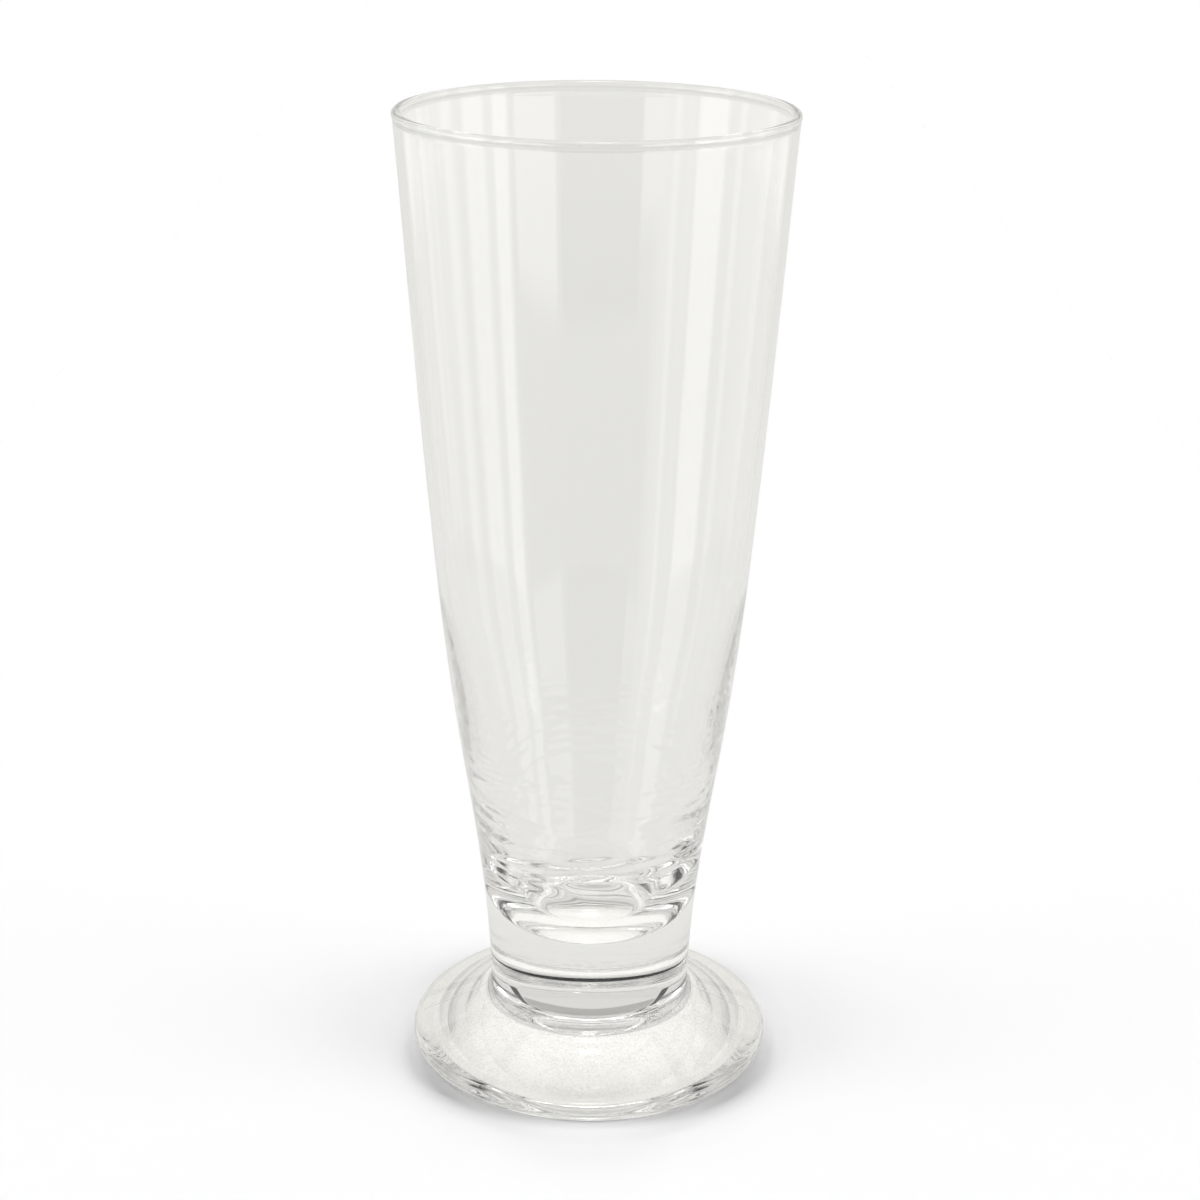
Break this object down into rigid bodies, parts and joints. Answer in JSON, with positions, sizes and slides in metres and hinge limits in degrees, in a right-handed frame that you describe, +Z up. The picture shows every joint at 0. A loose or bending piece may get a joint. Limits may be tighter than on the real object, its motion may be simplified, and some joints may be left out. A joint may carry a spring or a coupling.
{
  "type": "pilsner glass",
  "caption": "Tall tapered beer glass of clear glass on a short solid stem and a round pressed foot, for serving cold drinks.",
  "frame": {"origin": "on the axis, in the plane of the ring that the foot rests on", "axes": "+Z up along the glass's axis; the glass is round, so X and Y are any two level directions, with the foot's mould seam on X"},
  "size_m": [0.08, 0.08, 0.2045],
  "materials": {
    "bowl_glass": "clear fire-polished soda-lime glass, faint chill ripples in the thick lower wall",
    "stem_glass": "clear solid glass with a trapped seed bubble",
    "foot_glass": "clear pressed glass, finely textured from the mould, with a faint seam"
  },
  "bodies": {
    "root": {"bowl": "bowl_glass", "stem": "stem_glass", "foot": "foot_glass"}
  },
  "joints": []
}
